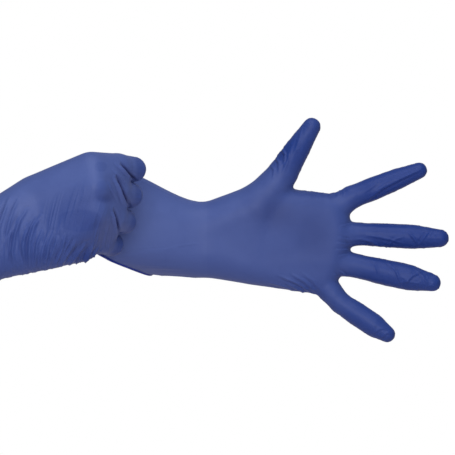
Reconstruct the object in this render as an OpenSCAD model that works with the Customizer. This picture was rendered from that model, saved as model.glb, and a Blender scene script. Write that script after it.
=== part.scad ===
// Pair of disposable nitrile gloves, shaped as worn. The left glove is open, its palm to the
// front. The right glove's fingers and thumb pinch the rim of the left cuff and draw it back.
// +X runs towards the left fingertips, +Z is up and the front is -Y.
// The origin is the centre of the left wrist. Each glove is one dipped film with a rolled rim:
// its nodes are the zones of that film that bend against each other.

/* [Film] */
// Wall thickness of the film solids
film = 0.6; // [0.4:0.1:1]
// Clearance between two film zones at a bending joint
gap = 0.4; // [0.3:0.1:0.8]
// Radius of the rolled bead on each cuff rim
bead_r = 1.1; // [0.8:0.1:1.6]

/* [Fingers] */
// Index film: root to middle joint, to end joint, to centre of the tip
index_len = [17, 21.5, 16.8]; // [8:0.1:40]
// Middle finger film, the same three lengths
middle_len = [19, 24, 18.7]; // [8:0.1:40]
// Ring finger film, the same three lengths
ring_len = [18.5, 23.5, 18.3]; // [8:0.1:40]
// Little finger film, the same three lengths
little_len = [14.5, 17, 12]; // [8:0.1:40]
// Thumb film: root to joint, to centre of the tip
thumb_len = [18.3, 22.8]; // [8:0.1:40]
// Radii of the thumb film at its root, its joint and its tip
thumb_r = [10.6, 9.4, 7.2]; // [6:0.1:13]

/* [Left glove, open] */
// Spread of the index, middle, ring and little fingers, up from +X
left_spread = [23.5, -3, -12.5, -33.8]; // [-60:0.5:60]
// Half width and half depth of the wrist
left_wrist = [28.7, 20]; // [15:0.5:40]

/* [Right glove, pinching] */
// Heading of the index, middle, ring and little fingers, up from +X
right_spread = [-4, -14, -20, -22]; // [-60:0.5:60]
// Pitch of the four finger roots, away from the front
right_root_pitch = [46, 55, 58, 52]; // [0:1:90]
// Bend at the middle joint and at the end joint of each pinching finger
right_bend = [85, 50]; // [0:1:110]
// Upward slope of the hand, from wrist to knuckles
right_slope = 20; // [0:1:45]
// Half width and half depth of the wrist
right_wrist = [29.5, 19.5]; // [15:0.5:40]
// Length of the cuff behind the wrist
right_cuff_len = 54; // [30:1:90]

/* [Hidden] */
FINGERS = ["index", "middle", "ring", "little"];
LENGTHS = [index_len, middle_len, ring_len, little_len];
film_blue = [0.22, 0.29, 0.58];
bead_blue = [0.14, 0.22, 0.56];

SIDES = 20;       // facets round a finger
CUFF_COLUMNS = 44;
CUFF_ROWS = 8;
BEAD_SIDES = 8;
DOME_RINGS = 5;   // rings in a fingertip's dome

// Least and greatest bend of the joints, which set how far each film end is cut back.
LEFT_BENDS = [[0, 60], [0, 86], [0, 54]];
RIGHT_BENDS = [[-30, 0], [5, 106], [5, 64]];
LEFT_THUMB_BENDS = [[0, 40], [0, 66]];
RIGHT_THUMB_BENDS = [[-25, 0], [12, 42]];

// Film radii at root, middle joint, end joint and tip, for index, middle, ring, little.
LEFT_R = [[8.6, 8.4, 7.7, 6.7], [8.6, 9.1, 8.8, 7.6], [8.6, 9.3, 9.1, 7.3], [8.2, 7.9, 7.6, 6.7]];
RIGHT_R = [[8.4, 9.6, 7.9, 7.3], [8.4, 9.6, 8.6, 7.8], [8.2, 9.5, 8.6, 7.8], [7.8, 8.8, 7.8, 7.2]];

// Left glove: finger roots, and each film's pitch towards the front.
LEFT_ROOT = [[112.4, -1, 31], [117.6, 0, 4.2], [115.8, 0, -20.2], [103.3, -2, -49.8]];
LEFT_PITCH = [[2, 3, 5], [0, 3.5, 6], [3, 5, 9], [6, 9, 13]];
LEFT_THUMB_ROOT = [60, -7, 51.8];
LEFT_THUMB_HEADING = [0.49, -0.16, 0.86];
LEFT_THUMB_PALMAR = [0.5, -0.81, -0.31];
LEFT_THUMB_PITCH = [0, 2];

// Left palm: balls [centre, radius] that its film is stretched over.
LEFT_HEEL = [[[3, 0, 8.7], 20], [[3, 0, -8.7], 20]];
LEFT_THENAR = [[38, -4, 25], 17];
LEFT_HYPOTHENAR = [[36, 0, -18.5], 17.5];
LEFT_KNUCKLES = [[[97, 0, 22.3], 13], [[102, 0, 4], 13.5], [[99.5, 0, -16], 13], [[89, 0, -32.5], 12]];

// Right glove: middle joints of the curled fingers, the thumb, and the balls under its palm.
RIGHT_MIDDLE_JOINT = [[-55.2, -72.1, 54.6], [-57.8, -72.7, 33.4], [-60.4, -71.7, 12.4], [-70.8, -67.5, -5.8]];
RIGHT_THUMB_ROOT = [-110, -53, 35];
RIGHT_THUMB_HEADING = [0.55, 0.82, -0.11];
RIGHT_THUMB_PALMAR = [0.83, -0.55, -0.05];
RIGHT_THUMB_PITCH = [0, 40];
RIGHT_WRIST = [-163, -98, -3];
RIGHT_THENAR = [[-130, -86, 33.5], 16];
RIGHT_HYPOTHENAR = [[-118, -96, -3.5], 17.5];
RIGHT_KNUCKLES = [[[-87, -103, 56.5], 11.5], [[-85, -109.6, 40], 11.5], [[-86, -107.3, 20.7], 11.5], [[-93, -93.5, 2], 12]];

// Rim of the left cuff, from its lowest point, up through the pinch and back round the far side.
LEFT_RIM = [
    [-44.5, 2, -27], [-60, -20, -21.5], [-77, -39, -14], [-87.5, -46.9, -5], [-91, -47.3, 20],
    [-88, -46.9, 46], [-80, -43.5, 57], [-66, -27, 50], [-55, -4, 38], [-48, 16, 15],
    [-45, 22, -7], [-43.5, 15, -22]
];

// ---- Directions and chains ----

function unit(v) = v / norm(v);
function heading(yaw) = [cos(yaw), 0, sin(yaw)];
function aim(e, palmar, pitch) = cos(pitch) * e + sin(pitch) * palmar;
LEFT_FRONT = [0, -1, 0];
RIGHT_BACK = [0, 1, 0];
RIGHT_U = heading(right_slope);
RIGHT_W = [-sin(right_slope), 0, cos(right_slope)];

// Points of a chain that starts at a point and takes one step at each pitch.
function chain(start, e, palmar, pitches, lengths, i = 0) =
    i == len(lengths) ? [start] :
    concat([start], chain(start + lengths[i] * aim(e, palmar, pitches[i]), e, palmar, pitches, lengths, i + 1));

function right_pitches(i) = [
    right_root_pitch[i], right_root_pitch[i] + right_bend[0],
    right_root_pitch[i] + right_bend[0] + right_bend[1]
];
function right_root(i) =
    RIGHT_MIDDLE_JOINT[i] - LENGTHS[i][0] * aim(heading(right_spread[i]), RIGHT_BACK, right_root_pitch[i]);
function left_chain(i) = chain(LEFT_ROOT[i], heading(left_spread[i]), LEFT_FRONT, LEFT_PITCH[i], LENGTHS[i]);
function right_chain(i) = chain(right_root(i), heading(right_spread[i]), RIGHT_BACK, right_pitches(i), LENGTHS[i]);

// A palmar direction made square to a heading.
function square_to(palmar, e) = unit(palmar - (palmar * e) * e);
LEFT_THUMB_E = unit(LEFT_THUMB_HEADING);
LEFT_THUMB_N = square_to(LEFT_THUMB_PALMAR, LEFT_THUMB_E);
RIGHT_THUMB_E = unit(RIGHT_THUMB_HEADING);
RIGHT_THUMB_N = square_to(RIGHT_THUMB_PALMAR, RIGHT_THUMB_E);
LEFT_THUMB = chain(LEFT_THUMB_ROOT, LEFT_THUMB_E, LEFT_THUMB_N, LEFT_THUMB_PITCH, thumb_len);
RIGHT_THUMB = chain(RIGHT_THUMB_ROOT, RIGHT_THUMB_E, RIGHT_THUMB_N, RIGHT_THUMB_PITCH, thumb_len);

// Puts a film that runs along +X, dorsal side up, at a point, along a heading.
module placed(at, e, palmar, pitch) {
    x = aim(e, palmar, pitch);
    z = sin(pitch) * e - cos(pitch) * palmar;
    y = cross(z, x);
    multmatrix([
        [x[0], y[0], z[0], at[0]], [x[1], y[1], z[1], at[1]],
        [x[2], y[2], z[2], at[2]], [0, 0, 0, 1]
    ]) children();
}

// ---- Finger films ----

// How far a film's end stands off its joint at height z: palmar side down, dorsal side up.
function set_back(z, bend) = gap / 2 - z * tan((z < 0 ? bend[1] : bend[0]) / 2);
function round_ring(r, n = SIDES) = [for (k = [0 : n - 1]) r * [cos(360 * k / n), sin(360 * k / n)]];
function start_ring(r, bend, shift = 0) = [for (p = round_ring(r)) [set_back(p[1], bend) + shift, p[0], p[1]]];
function end_ring(r, bend, length) = [for (p = round_ring(r)) [length - set_back(p[1], bend), p[0], p[1]]];
function flat_ring(r, x) = [for (p = round_ring(r)) [x, p[0], p[1]]];

// Joins the points of one list of rings.
function flatten(rings) = [for (ring = rings) for (p = ring) p];
// Faces between ring a and ring b, each of n points, seen from outside.
function band(a, b, n) = [
    for (k = [0 : n - 1]) let (m = (k + 1) % n)
        for (f = [[a * n + k, b * n + k, b * n + m], [a * n + k, b * n + m, a * n + m]]) f
];
function flipped(faces) = [for (f = faces) [f[2], f[1], f[0]]];

// A tube of film: both lists of rings run from start to end.
module film_tube(outer, inner) {
    n = len(outer[0]);
    rows = len(outer);
    polyhedron(
        flatten(concat(outer, inner)),
        concat(
            [for (r = [0 : rows - 2]) each band(r, r + 1, n)],
            [for (r = [0 : rows - 2]) each flipped(band(rows + r, rows + r + 1, n))],
            band(rows, 0, n),
            band(rows - 1, 2 * rows - 1, n)
        )
    );
}

// A film between two joints.
module finger_section(length, r0, r1, bend0, bend1) {
    film_tube(
        [start_ring(r0, bend0), end_ring(r1, bend1, length)],
        [start_ring(r0 - film, bend0), end_ring(r1 - film, bend1, length)]
    );
}

// A fingertip film: open at its joint, closed by a dome round the tip's centre.
function dome(r, length, reach) = [
    for (k = [0 : DOME_RINGS - 1]) let (a = 82 * k / (DOME_RINGS - 1))
        flat_ring(r * cos(a), length + reach * sin(a))
];
module finger_tip(length, r0, r1, bend0) {
    outer = concat([start_ring(r0, bend0)], dome(r1, length, r1));
    inner = concat([start_ring(r0 - film, bend0)], dome(r1 - film, length, r1 - film));
    rows = len(outer);
    last = rows - 1;
    polyhedron(
        flatten(concat(outer, inner)),
        concat(
            [for (r = [0 : last - 1]) each band(r, r + 1, SIDES)],
            [for (r = [0 : last - 1]) each flipped(band(rows + r, rows + r + 1, SIDES))],
            band(rows, 0, SIDES),
            [[for (k = [0 : SIDES - 1]) last * SIDES + SIDES - 1 - k]],
            [[for (k = [0 : SIDES - 1]) (rows + last) * SIDES + k]]
        )
    );
}

// Knuckle film: a slice of a hollow ball that slides inside the film before it, and keeps the
// back of a bent joint closed. A collar joins it to the film it belongs to.
module knuckle_film(r, bend, rest) {
    inside = r - film - 0.4;
    film_tube(
        [start_ring(r - film / 2, bend, 0.25), start_ring(r - film / 2, bend, 1.5)],
        [start_ring(inside - film - 0.1, bend, 0.25), start_ring(inside - film - 0.1, bend, 1.5)]
    );
    multmatrix([[0, -1, 0, 0], [0, 0, -1, 0], [1, 0, 0, 0], [0, 0, 0, 1]])
        rotate([0, 0, -5])
            rotate_extrude(angle = rest + 5, $fn = 28)
                difference() {
                    intersection() {
                        circle(inside);
                        translate([0, -inside]) square([inside, 2 * inside]);
                    }
                    circle(inside - film);
                }
}

// One zone of a finger: 0 is the base, 1 the middle and 2 the tip. rest is the bend that the
// zone's own joint is held at.
module finger(zone, points, e, palmar, pitches, lengths, radii, bends, rest) {
    color(film_blue)
        placed(points[zone], e, palmar, pitches[zone]) {
            if (zone > 0 && rest > 20) knuckle_film(radii[zone], bends[zone], rest);
            if (zone == len(lengths) - 1)
                finger_tip(lengths[zone], radii[zone], radii[zone + 1], bends[zone]);
            else
                finger_section(lengths[zone], radii[zone], radii[zone + 1], bends[zone], bends[zone + 1]);
        }
}
module left_finger(i, zone) {
    finger(zone, left_chain(i), heading(left_spread[i]), LEFT_FRONT, LEFT_PITCH[i], LENGTHS[i], LEFT_R[i], LEFT_BENDS, 0);
}
module right_finger(i, zone) {
    finger(zone, right_chain(i), heading(right_spread[i]), RIGHT_BACK, right_pitches(i), LENGTHS[i], RIGHT_R[i], RIGHT_BENDS, zone > 0 ? right_bend[zone - 1] : 0);
}
module left_thumb(zone) {
    finger(zone, LEFT_THUMB, LEFT_THUMB_E, LEFT_THUMB_N, LEFT_THUMB_PITCH, thumb_len, thumb_r, LEFT_THUMB_BENDS, 0);
}
module right_thumb(zone) {
    finger(zone, RIGHT_THUMB, RIGHT_THUMB_E, RIGHT_THUMB_N, RIGHT_THUMB_PITCH, thumb_len, thumb_r, RIGHT_THUMB_BENDS, 0);
}

// ---- Palms ----

module ball(b, shrink) {
    translate(b[0]) sphere(r = b[1] - shrink, $fn = 20);
}
// Film stretched over a set of balls.
module stretched(balls, shrink) {
    hull() for (b = balls) ball(b, shrink);
}
// Everything past a finger's root joint, notched on the palmar side so that the finger can bend.
module past_joint(r, bend) {
    size = r + 2.5;
    translate([-gap / 2, -size, -size]) cube([2 * size, 2 * size, 2 * size]);
    translate([-gap / 2, 0, 0])
        rotate([0, bend[1] / 2, 0])
            translate([0, -size, -size]) cube([size, 2 * size, size]);
    translate([-gap / 2, 0, 0])
        rotate([0, bend[0] / 2, 0])
            translate([0, -size, 0]) cube([size, 2 * size, size]);
}
module palm_volume(heel, thenar, hypothenar, knuckles, roots, radii, thumb_root, shrink) {
    stretched(concat(heel, [thenar, hypothenar]), shrink);
    stretched([thenar, hypothenar, knuckles[0], knuckles[1]], shrink);
    stretched([hypothenar, knuckles[1], knuckles[2], knuckles[3]], shrink);
    stretched([thenar, [thumb_root, thumb_r[0]]], shrink);
    for (i = [0 : 3]) stretched([knuckles[i], [roots[i], radii[i][0]]], shrink);
}

module left_palm() {
    roots = [for (i = [0 : 3]) LEFT_ROOT[i]];
    color(film_blue)
        difference() {
            palm_volume(LEFT_HEEL, LEFT_THENAR, LEFT_HYPOTHENAR, LEFT_KNUCKLES, roots, LEFT_R, LEFT_THUMB_ROOT, 0);
            palm_volume(LEFT_HEEL, LEFT_THENAR, LEFT_HYPOTHENAR, LEFT_KNUCKLES, roots, LEFT_R, LEFT_THUMB_ROOT, film);
            translate([-40, -50, -50]) cube([40.1, 100, 100]);
            for (i = [0 : 3])
                placed(LEFT_ROOT[i], heading(left_spread[i]), LEFT_FRONT, LEFT_PITCH[i][0])
                    past_joint(LEFT_R[i][0], LEFT_BENDS[0]);
            placed(LEFT_THUMB_ROOT, LEFT_THUMB_E, LEFT_THUMB_N, LEFT_THUMB_PITCH[0])
                past_joint(thumb_r[0], LEFT_THUMB_BENDS[0]);
        }
}

RIGHT_HEEL = [for (s = [-1, 1]) [RIGHT_WRIST + s * (right_wrist[0] - right_wrist[1]) * RIGHT_W + 3 * RIGHT_U, right_wrist[1]]];
module right_palm() {
    roots = [for (i = [0 : 3]) right_root(i)];
    color(film_blue)
        difference() {
            palm_volume(RIGHT_HEEL, RIGHT_THENAR, RIGHT_HYPOTHENAR, RIGHT_KNUCKLES, roots, RIGHT_R, RIGHT_THUMB_ROOT, 0);
            palm_volume(RIGHT_HEEL, RIGHT_THENAR, RIGHT_HYPOTHENAR, RIGHT_KNUCKLES, roots, RIGHT_R, RIGHT_THUMB_ROOT, film);
            translate(RIGHT_WRIST) rotate([0, -right_slope, 0]) translate([-40, -50, -50]) cube([40.1, 100, 100]);
            for (i = [0 : 3])
                placed(roots[i], heading(right_spread[i]), RIGHT_BACK, right_root_pitch[i])
                    past_joint(RIGHT_R[i][0], RIGHT_BENDS[0]);
            placed(RIGHT_THUMB_ROOT, RIGHT_THUMB_E, RIGHT_THUMB_N, RIGHT_THUMB_PITCH[0])
                past_joint(thumb_r[0], RIGHT_THUMB_BENDS[0]);
        }
}

// ---- Cuffs ----

// Wrist outline: a stadium, half = [half width, half depth], inset by the film for the inner wall.
function stadium(half, inset, a) = [
    -(half[1] - inset) * sin(a),
    -(half[0] - half[1]) * (cos(a) >= 0 ? 1 : -1) * min(1, abs(cos(a)) * 4) - (half[1] - inset) * cos(a)
];
// A point of a smooth closed curve through the points, t running once round from 0 to 1.
function closed_curve(points, t) =
    let (n = len(points), s = t * n, i = floor(s), f = s - i,
         p0 = points[(i + n - 1) % n], p1 = points[i % n], p2 = points[(i + 1) % n], p3 = points[(i + 2) % n])
    0.5 * (2 * p1 + (p2 - p0) * f + (2 * p0 - 5 * p1 + 4 * p2 - p3) * f * f + (3 * p1 - p0 - 3 * p2 + p3) * f * f * f);
// A film line from the wrist, leaving it along start_pull and reaching the rim along end_pull.
function film_line(start, start_pull, end, end_pull, t) =
    (2 * t * t * t - 3 * t * t + 1) * start + (t * t * t - 2 * t * t + t) * start_pull
    + (3 * t * t - 2 * t * t * t) * end + (t * t * t - t * t) * end_pull;

// Left wrist and rim points at turn t, from the lowest point and up the front.
function left_wrist_point(t, inset) = let (p = stadium(left_wrist, inset, 360 * t)) [0, p[0], p[1]];
function left_rim_point(t) = closed_curve(LEFT_RIM, t);
LEFT_RIM_MIDDLE = [-66, -14, 10];
function left_cuff_point(t, s, inset) =
    let (start = left_wrist_point(t, inset), rim = left_rim_point(t),
         end = rim + inset * unit([rim[0], LEFT_RIM_MIDDLE[1], LEFT_RIM_MIDDLE[2]] - rim),
         reach = norm(end - start))
    film_line(start, [-reach * 0.7, 0, 0], end, (end - start) * 0.9, s);
module left_cuff() {
    color(film_blue)
        film_tube(
            [for (r = [0 : CUFF_ROWS]) [for (k = [0 : CUFF_COLUMNS - 1]) left_cuff_point(k / CUFF_COLUMNS, 1 - r / CUFF_ROWS, 0)]],
            [for (r = [0 : CUFF_ROWS]) [for (k = [0 : CUFF_COLUMNS - 1]) left_cuff_point(k / CUFF_COLUMNS, 1 - r / CUFF_ROWS, film)]]
        );
}

// Right cuff: a sleeve that widens from the wrist to its oval rim.
right_rim_half = [36, 27];
function right_place(y, z, back) = RIGHT_WRIST - back * RIGHT_U + [0, y, 0] + z * RIGHT_W;
function right_rim_point(t, inset = 0) =
    right_place(-(right_rim_half[1] - inset) * sin(360 * t) + 4, -(right_rim_half[0] - inset) * cos(360 * t), right_cuff_len);
function right_cuff_point(t, s, inset) =
    let (p = stadium(right_wrist, inset, 360 * t), start = right_place(p[0], p[1], 0),
         end = right_rim_point(t, inset))
    film_line(start, -right_cuff_len * RIGHT_U, end, end - start, s);
module right_cuff() {
    color(film_blue)
        film_tube(
            [for (r = [0 : CUFF_ROWS]) [for (k = [0 : CUFF_COLUMNS - 1]) right_cuff_point(k / CUFF_COLUMNS, 1 - r / CUFF_ROWS, 0)]],
            [for (r = [0 : CUFF_ROWS]) [for (k = [0 : CUFF_COLUMNS - 1]) right_cuff_point(k / CUFF_COLUMNS, 1 - r / CUFF_ROWS, film)]]
        );
}

// Rolled bead: a ring of small sections round a closed line of points.
module bead(line) {
    n = len(line);
    polyhedron(
        [
            for (k = [0 : n - 1])
                let (along = unit(line[(k + 1) % n] - line[(k + n - 1) % n]),
                     across = unit(cross(along, [1, 0, 0])), over = cross(along, across))
                for (a = [0 : BEAD_SIDES - 1])
                    line[k] + bead_r * (cos(360 * a / BEAD_SIDES) * across + sin(360 * a / BEAD_SIDES) * over)
        ],
        [
            for (k = [0 : n - 1]) for (a = [0 : BEAD_SIDES - 1])
                let (m = (k + 1) % n, b = (a + 1) % BEAD_SIDES)
                for (f = [
                    [k * BEAD_SIDES + a, m * BEAD_SIDES + b, m * BEAD_SIDES + a],
                    [k * BEAD_SIDES + a, k * BEAD_SIDES + b, m * BEAD_SIDES + b]
                ]) f
        ]
    );
}
function left_bead_line() = [
    for (k = [0 : CUFF_COLUMNS - 1]) let (t = k / CUFF_COLUMNS, p = left_rim_point(t))
        p + (bead_r + 0.15) * unit(p - left_cuff_point(t, 0.98, 0))
];
module left_cuff_bead() {
    color(bead_blue) bead(left_bead_line());
}
module right_cuff_bead() {
    color(bead_blue)
        bead([for (k = [0 : CUFF_COLUMNS - 1]) right_rim_point(k / CUFF_COLUMNS, film / 2) - (bead_r + 0.05) * RIGHT_U]);
}

// ---- Nodes ----

left_cuff_bead();
left_cuff();
left_palm();
left_thumb(0);  // left_thumb_base
left_thumb(1);  // left_thumb_tip
for (i = [0 : 3]) {
    left_finger(i, 0);
    left_finger(i, 1);
    left_finger(i, 2);
}
right_cuff_bead();
right_cuff();
right_palm();
right_thumb(0);  // right_thumb_base
right_thumb(1);  // right_thumb_tip
for (i = [0 : 3]) {
    right_finger(i, 0);
    right_finger(i, 1);
    right_finger(i, 2);
}
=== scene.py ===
"""A pair of disposable nitrile gloves, shaped as worn: the left one open, the right one pinching
and drawing back the left one's cuff. Lengths are in millimetres until they go into a mesh."""

import bpy
import numpy as np
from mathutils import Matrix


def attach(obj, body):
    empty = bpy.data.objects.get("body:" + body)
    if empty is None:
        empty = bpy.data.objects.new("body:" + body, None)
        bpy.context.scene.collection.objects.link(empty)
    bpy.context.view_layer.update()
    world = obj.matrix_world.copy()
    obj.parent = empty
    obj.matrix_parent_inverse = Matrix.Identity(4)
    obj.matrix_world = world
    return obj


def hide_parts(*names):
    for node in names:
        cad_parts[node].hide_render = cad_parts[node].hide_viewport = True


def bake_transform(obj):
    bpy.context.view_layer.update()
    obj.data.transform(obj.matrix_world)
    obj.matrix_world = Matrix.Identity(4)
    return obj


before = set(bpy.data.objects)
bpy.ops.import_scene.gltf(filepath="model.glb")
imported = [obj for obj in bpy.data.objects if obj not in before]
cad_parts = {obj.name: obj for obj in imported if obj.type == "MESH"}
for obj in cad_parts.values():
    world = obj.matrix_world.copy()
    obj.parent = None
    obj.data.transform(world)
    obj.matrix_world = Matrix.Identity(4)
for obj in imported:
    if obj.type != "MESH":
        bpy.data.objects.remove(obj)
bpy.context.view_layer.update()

# ---- Camera ----
# A long lens square to the front, so that both gloves are seen at one scale. The right glove's
# cuff runs out of the left side of the frame.
VIEW_CENTRE = (15.8, -40.0, 9.6)
VIEW_WIDTH = 350.0
VIEW_DISTANCE = 4000.0
lens_data = bpy.data.cameras.new("front_camera")
camera = bpy.data.objects.new("front_camera", lens_data)
bpy.context.scene.collection.objects.link(camera)
lens_data.sensor_width = 36.0
lens_data.lens = 36.0 * VIEW_DISTANCE / VIEW_WIDTH
lens_data.clip_end = 20.0
camera.location = (
    VIEW_CENTRE[0] / 1000,
    (VIEW_CENTRE[1] - VIEW_DISTANCE) / 1000,
    VIEW_CENTRE[2] / 1000,
)
camera.rotation_euler = (np.pi / 2, 0, 0)
bpy.context.scene.camera = camera

# ---- Nitrile film ----
# Dipped nitrile: a satin, slightly waxy blue-violet skin. It turns paler and greyer where it is
# stretched, and deeper where it lies slack. The troughs of its folds and creases are painted darker
# still, as painted shade. The rolled rim is thicker, so it is darker.


class Wire:
    """A shader socket that takes part in arithmetic: each operator adds a Math node."""

    def __init__(self, tree, socket):
        self.tree, self.socket = tree, socket

    def node(self, kind, settings=None, out=0, **values):
        """Adds a node, sets its own settings first and then its sockets' values or links."""
        made = self.tree.nodes.new(kind)
        for key, value in (settings or {}).items():
            if key == "stops":
                ramp = made.color_ramp
                while len(ramp.elements) < len(value):
                    ramp.elements.new(0.5)
                for stop, (place, colour) in zip(ramp.elements, value):
                    stop.position, stop.color = place, colour
            else:
                setattr(made, key, value)
        for key, value in values.items():
            by_number = key[1:].isdigit()
            target = made.inputs[int(key[1:]) if by_number else key.replace("_", " ")]
            if isinstance(value, Wire):
                self.tree.links.new(value.socket, target)
            else:
                target.default_value = value
        return Wire(self.tree, made.outputs[out])

    def math(self, operation, other, swapped=False):
        a, b = (other, self) if swapped else (self, other)
        return self.node("ShaderNodeMath", {"operation": operation}, i0=a, i1=b)

    def __add__(self, other):
        return self.math("ADD", other)

    def __mul__(self, other):
        return self.math("MULTIPLY", other)

    def __sub__(self, other):
        return self.math("SUBTRACT", other)

    def __rsub__(self, other):
        return self.math("SUBTRACT", other, True)

    __radd__, __rmul__ = __add__, __mul__

    def mixed(self, low, high):
        """A colour between low and high, by this socket's value."""
        settings = {"data_type": "RGBA", "clamp_factor": True}
        return self.node("ShaderNodeMix", settings, out=2, i0=self, i6=low, i7=high)


def film_material(name, slack, taut, deep, fine):
    """Colour: slack mixed towards taut by the mesh's stretch value and towards deep by its fold
    value, a painted shade that darkens the troughs of folds and creases, with a faint cloudiness.
    Bump: a fine orange-peel grain over slow, faint waves, at a strength set by fine."""
    made = bpy.data.materials.new(name)
    made.use_nodes = True
    tree = made.node_tree
    shader = tree.nodes["Principled BSDF"]
    start = Wire(tree, None)
    place = start.node("ShaderNodeTexCoord", out=3)
    stretch = start.node("ShaderNodeAttribute", {"attribute_name": "stretch"}, out=2)
    fold = start.node("ShaderNodeAttribute", {"attribute_name": "fold"}, out=2)
    cloud = start.node("ShaderNodeTexNoise", Vector=place, Scale=38.0, Detail=3.0, Roughness=0.55)
    grain = start.node("ShaderNodeTexNoise", Vector=place, Scale=1500.0, Detail=2.0, Roughness=0.6)
    waves = start.node("ShaderNodeTexNoise", Vector=place, Scale=190.0, Detail=4.0, Roughness=0.55)
    colour = stretch.mixed((*slack, 1), (*taut, 1))
    # Painted shade: the colour turns to deep, a dark blue, as the fold value grows with the depth of folds,
    # creases and hollows.
    colour = fold.mixed(colour, (*deep, 1))
    colour = ((cloud - 0.5) * 0.55).mixed(colour, (*[c * 0.72 for c in slack], 1))
    rough = 0.46 + (cloud - 0.5) * 0.16 + stretch * 0.05 + (grain - 0.5) * 0.08
    height = grain * 0.25 + waves
    bump = start.node("ShaderNodeBump", Strength=0.22 * fine, Distance=0.0006, Height=height)
    tree.links.new(colour.socket, shader.inputs["Base Color"])
    tree.links.new(rough.socket, shader.inputs["Roughness"])
    tree.links.new(bump.socket, shader.inputs["Normal"])
    shader.inputs["Specular IOR Level"].default_value = 0.26
    shader.inputs["Sheen Weight"].default_value = 0.10
    shader.inputs["Sheen Roughness"].default_value = 0.45
    shader.inputs["Sheen Tint"].default_value = (0.55, 0.6, 1.0, 1.0)
    return made


# In both films, deep is the colour of the painted shade in the troughs of folds and creases.
nitrile = film_material(
    "nitrile_film", slack=(0.013, 0.044, 0.245), taut=(0.088, 0.134, 0.375), deep=(0.012, 0.020, 0.12), fine=1.0
)
rim_nitrile = film_material(
    "rolled_rim_nitrile", slack=(0.014, 0.035, 0.30), taut=(0.04, 0.07, 0.35), deep=(0.02, 0.03, 0.2), fine=0.6
)

# ---- Shape of a worn glove ----
# The film is stretched over a hand, so its surface is the zero level of a distance field: rounded
# bones and rounded palm plates, melted together. One vertex lies in each grid cell it crosses,
# then each quad is cut in four. An inner wall stands behind the film where a cuff shows it.
GRID = 1.3
INNER_WALL_DEPTH = 0.3
INNER_WALL_REACH = 34


def closest_on_bone(p, a, b):
    """Share of the way from a to b of the point of the line nearest to each p, held in 0 to 1."""
    line = b - a
    return np.clip(((p - a) @ line) / (line @ line), 0, 1)


def bone(p, a, b, ra, rb):
    """Distance to the line from a to b, less a radius that runs evenly from ra to rb."""
    t = closest_on_bone(p, a, b)
    away = p - a - t[..., None] * (b - a)
    return np.sqrt((away * away).sum(-1)) - (ra + (rb - ra) * t)


def plate(p, a, b, c, ra, rb, rc):
    """Distance to the triangle a, b, c, less a radius that runs evenly between its corners'."""
    edge = np.minimum(np.minimum(bone(p, a, b, ra, rb), bone(p, b, c, rb, rc)), bone(p, c, a, rc, ra))
    u, v, w = b - a, c - a, p - a
    uu, uv, vv, wu, wv = u @ u, u @ v, v @ v, w @ u, w @ v
    area = uu * vv - uv * uv
    s, t = (vv * wu - uv * wv) / area, (uu * wv - uv * wu) / area
    normal = np.cross(u, v) / np.sqrt(area)
    flat = np.abs(w @ normal) - (ra + s * (rb - ra) + t * (rc - ra))
    return np.where((s > 0) & (t > 0) & (s + t < 1), np.minimum(edge, flat), edge)


def melt(a, b, width):
    """The lesser of two distances, rounded over where they differ by less than width."""
    near = np.maximum(width - np.abs(a - b), 0) / width
    return np.minimum(a, b) - near * near * width / 4


class Softened:
    """A distance field kept on a lattice and read back through cubic B-splines, which rounds off
    its ridges and kinks over about one step of the lattice."""

    def __init__(self, field_of, low, high, step):
        self.low, self.step = np.array(low, float) - 2 * step, step
        axes = [np.arange(a, b + 3 * step, step) for a, b in zip(self.low, high)]
        lattice = np.stack(np.meshgrid(*axes, indexing="ij"), -1)
        self.values = np.concatenate([field_of(layer) for layer in np.array_split(lattice, 8)])

    def __call__(self, p):
        q = (p - self.low) / self.step
        whole = np.clip(np.floor(q).astype(int), 1, np.array(self.values.shape) - 3)
        f = q - whole
        weights = ((1 - f) ** 3, 3 * f**3 - 6 * f**2 + 4, 1 + 3 * f + 3 * f**2 - 3 * f**3, f**3)
        total = 0.0
        for i, j, k in np.ndindex(4, 4, 4):
            share = weights[i][..., 0] * weights[j][..., 1] * weights[k][..., 2] / 216
            at = whole + np.array([i, j, k]) - 1
            total = total + share * self.values[at[..., 0], at[..., 1], at[..., 2]]
        return total


def surface_net(field, low, step):
    """One vertex in each cell that the zero level crosses, at the mean of the crossings on its
    edges, and one quad round each grid edge that is crossed."""
    shape = np.array(field.shape) - 1
    total = np.zeros((*shape, 3), np.float32)
    count = np.zeros(shape, np.float32)
    inside = field < 0
    edges = []
    for axis in range(3):
        first = tuple(slice(0, -1) if a == axis else slice(None) for a in range(3))
        second = tuple(slice(1, None) if a == axis else slice(None) for a in range(3))
        crossed = inside[first] != inside[second]
        where = np.argwhere(crossed)
        f0, f1 = field[first][crossed], field[second][crossed]
        cut = where.astype(np.float32)
        cut[:, axis] += f0 / (f0 - f1)
        b, c = [a for a in range(3) if a != axis]
        corners = []
        for db, dc in ((-1, -1), (0, -1), (0, 0), (-1, 0)):
            cell = where.copy()
            cell[:, b] += db
            cell[:, c] += dc
            corners.append(cell)
        kept = np.all([((q >= 0) & (q < shape)).all(1) for q in corners], axis=0)
        for cell in corners:
            at = tuple(cell[kept].T)
            np.add.at(total, at, cut[kept])
            np.add.at(count, at, 1)
        turn = (f0[kept] < 0) ^ (axis == 1)
        edges.append((np.stack([q[kept] for q in corners], 1), turn))
    used = count > 0
    number = np.full(shape, -1, np.int64)
    number[used] = np.arange(used.sum())
    points = low + step * (total[used] / count[used][:, None])
    faces = []
    for cells, turn in edges:
        quad = number[cells[..., 0], cells[..., 1], cells[..., 2]]
        faces.append(np.where(turn[:, None], quad, quad[:, ::-1]))
    return points.astype(float), np.concatenate(faces)


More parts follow.
